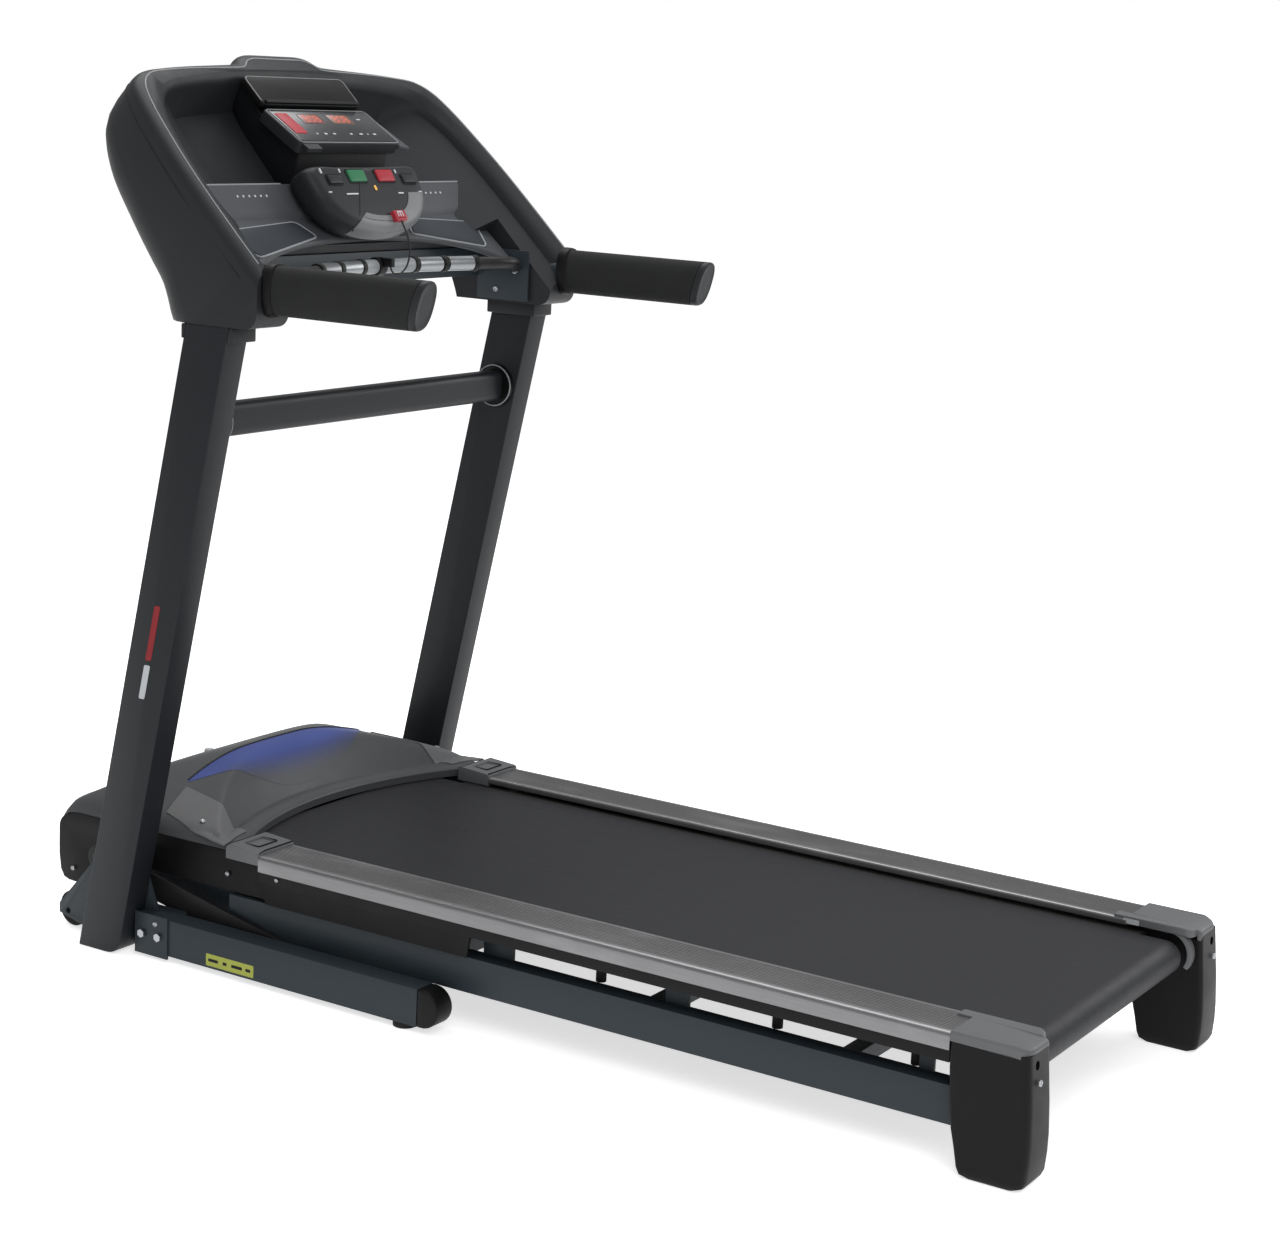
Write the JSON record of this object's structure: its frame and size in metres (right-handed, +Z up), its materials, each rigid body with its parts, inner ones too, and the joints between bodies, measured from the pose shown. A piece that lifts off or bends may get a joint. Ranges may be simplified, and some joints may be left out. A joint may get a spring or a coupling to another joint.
{
  "type": "treadmill",
  "caption": "Folding motorised treadmill: running belt deck with side rails and motor hood, leaning uprights, crossbar, arched console, handlebars, lifting base.",
  "frame": {"origin": "on the floor, in the middle of the footprint's bounding box", "axes": "+X to the runner's right, +Y from the tail towards the motor hood, +Z up"},
  "size_m": [0.858, 1.786, 1.449],
  "materials": {
    "frame_paint": "satin blue-grey powder coat",
    "upright_paint": "satin charcoal powder coat",
    "black_paint": "satin black powder coat",
    "zinc_steel": "zinc plated steel",
    "rail_aluminium": "satin grey anodised, ribbed",
    "hood_plastic": "satin mid-grey moulded plastic",
    "console_plastic": "fine-textured charcoal moulded plastic",
    "tray_plastic": "satin grey moulded plastic",
    "black_plastic": "fine-textured black moulded plastic",
    "bezel_gloss": "gloss black panel",
    "window_red": "tinted display window",
    "silver_plastic": "silver painted plastic",
    "key_green": "green printed key",
    "key_red": "red printed key",
    "grip_foam": "dense black foam grip",
    "black_rubber": "black rubber",
    "belt_pvc": "charcoal woven-backed running belt",
    "phenolic_board": "waxed laminated board",
    "circuit_board": "green circuit board",
    "motor_black": "black enamelled motor case",
    "cord_black": "braided black cord"
  },
  "bodies": {
    "base": {"base_frame": "frame_paint", "base_end_caps": "black_plastic", "leveling_feet": "black_rubber", "base_bolts": "zinc_steel", "upright_left": "upright_paint", "upright_right": "upright_paint", "crossbar": "upright_paint", "crossbar_collars": "black_plastic", "wheel_brackets": "black_paint", "console_bracket": "frame_paint", "console_shell": "console_plastic", "console_tray": "tray_plastic", "reading_rack": "black_plastic", "display_panel": "bezel_gloss", "display_windows": "window_red", "console_board": "circuit_board", "control_pod": "console_plastic", "pod_trim": "silver_plastic", "lanyard": "cord_black", "lanyard_clip": "black_plastic", "pulse_bar": "black_paint", "pulse_grips": "zinc_steel", "handlebar_tubes": "frame_paint", "handlebar_grips": "grip_foam", "handlebar_caps": "tray_plastic", "upright_boots": "black_plastic"},
    "lift_frame": {"lift_frame": "black_paint"},
    "fold_frame": {"fold_frame": "frame_paint"},
    "gas_cylinder": {"gas_cylinder": "black_paint"},
    "gas_rod": {"gas_rod": "zinc_steel"},
    "incline_motor": {"incline_motor": "motor_black"},
    "incline_screw": {"incline_screw": "zinc_steel"},
    "front_roller": {"front_roller": "zinc_steel"},
    "rear_roller": {"rear_roller": "zinc_steel"},
    "motor_rotor": {"motor_rotor": "zinc_steel"},
    "wheel_left": {"transport_wheel_left": "black_rubber"},
    "wheel_right": {"transport_wheel_right": "black_rubber"},
    "start_key": {"start_key": "key_green"},
    "stop_key": {"stop_key": "key_red"},
    "adjust_key_left": {"adjust_key_left": "tray_plastic"},
    "adjust_key_right": {"adjust_key_right": "tray_plastic"},
    "safety_key": {"safety_key": "key_red"},
    "power_switch": {"power_switch": "black_plastic"},
    "deck": {"deck_frame": "frame_paint", "deck_board": "phenolic_board", "deck_cushions": "black_rubber", "running_belt": "belt_pvc", "roller_axles": "zinc_steel", "rail_left": "rail_aluminium", "rail_right": "rail_aluminium", "rail_end_plates": "console_plastic", "side_skirts": "black_plastic", "rear_foot_left": "black_plastic", "rear_foot_right": "black_plastic", "motor_hood": "hood_plastic", "belly_pan": "black_plastic", "drive_motor": "motor_black", "drive_belt": "black_rubber", "motor_controller": "circuit_board", "power_inlet": "black_plastic"}
  },
  "joints": [
    {"name": "incline", "type": "hinge", "parent": "base", "child": "lift_frame", "pos_m": [0, 0.357, 0.04], "axis": [1, 0, 0], "range_deg": [0, 23.71]},
    {"name": "carrier_level", "type": "hinge", "parent": "lift_frame", "child": "fold_frame", "pos_m": [0, 0.787, 0.125], "axis": [1, 0, 0], "range_deg": [-18.2, 0]},
    {"name": "fold", "type": "hinge", "parent": "fold_frame", "child": "deck", "pos_m": [0, 0.787, 0.125], "axis": [-1, 0, 0], "range_deg": [0, 60]},
    {"name": "gas_spring_pivot", "type": "hinge", "parent": "fold_frame", "child": "gas_cylinder", "pos_m": [0.09, 0.687, 0.07], "axis": [-1, 0, 0], "range_deg": [0, 65.2]},
    {"name": "gas_spring_stroke", "type": "slide", "parent": "gas_cylinder", "child": "gas_rod", "axis": [0, -1, 0.0086], "range_m": [0, 0.101]},
    {"name": "incline_motor_pivot", "type": "hinge", "parent": "base", "child": "incline_motor", "pos_m": [-0.06, 0.637, 0.045], "axis": [-1, 0, 0], "range_deg": [0, 1.8]},
    {"name": "incline_screw_stroke", "type": "slide", "parent": "incline_motor", "child": "incline_screw", "axis": [0, -0.9726, 0.2326], "range_m": [0, 0.032]},
    {"name": "front_roller_spin", "type": "hinge", "parent": "deck", "child": "front_roller", "pos_m": [0, 0.577, 0.156], "axis": [1, 0, 0], "continuous": true},
    {"name": "rear_roller_spin", "type": "hinge", "parent": "deck", "child": "rear_roller", "pos_m": [0, -0.836, 0.156], "axis": [1, 0, 0], "continuous": true},
    {"name": "rotor_spin", "type": "hinge", "parent": "deck", "child": "motor_rotor", "pos_m": [0, 0.699, 0.2], "axis": [1, 0, 0], "continuous": true},
    {"name": "wheel_left_spin", "type": "hinge", "parent": "base", "child": "wheel_left", "pos_m": [-0.358, 0.832, 0.031], "axis": [1, 0, 0], "continuous": true},
    {"name": "wheel_right_spin", "type": "hinge", "parent": "base", "child": "wheel_right", "pos_m": [0.358, 0.832, 0.031], "axis": [1, 0, 0], "continuous": true},
    {"name": "start_key_press", "type": "slide", "parent": "base", "child": "start_key", "axis": [0, 0.848, -0.5299], "range_m": [0, 0.002], "stiffness_N_per_m": 400, "springref_m": -0.0005},
    {"name": "stop_key_press", "type": "slide", "parent": "base", "child": "stop_key", "axis": [0, 0.848, -0.5299], "range_m": [0, 0.002], "stiffness_N_per_m": 400, "springref_m": -0.0005},
    {"name": "adjust_key_left_press", "type": "slide", "parent": "base", "child": "adjust_key_left", "axis": [0, 0.848, -0.5299], "range_m": [0, 0.002], "stiffness_N_per_m": 400, "springref_m": -0.0005},
    {"name": "adjust_key_right_press", "type": "slide", "parent": "base", "child": "adjust_key_right", "axis": [0, 0.848, -0.5299], "range_m": [0, 0.002], "stiffness_N_per_m": 400, "springref_m": -0.0005},
    {"name": "safety_key_pull", "type": "slide", "parent": "base", "child": "safety_key", "axis": [0, -0.848, 0.5299], "range_m": [0, 0.025]},
    {"name": "power_switch_rock", "type": "hinge", "parent": "deck", "child": "power_switch", "pos_m": [-0.236, 0.881, 0.104], "axis": [1, 0, 0], "range_deg": [0, 12]}
  ],
  "couplings": [
    {"joint": "carrier_level", "follows": "incline", "ratio": -0.75915},
    {"joint": "incline_motor_pivot", "follows": "incline", "ratio": 0.07256},
    {"joint": "incline_screw_stroke", "follows": "incline", "m_per_rad": 0.075367},
    {"joint": "gas_spring_pivot", "follows": "fold", "ratio": 1.0818},
    {"joint": "gas_spring_stroke", "follows": "fold", "m_per_rad": 0.096099},
    {"joint": "rear_roller_spin", "follows": "front_roller_spin", "ratio": 1},
    {"joint": "rotor_spin", "follows": "front_roller_spin", "ratio": 2}
  ]
}
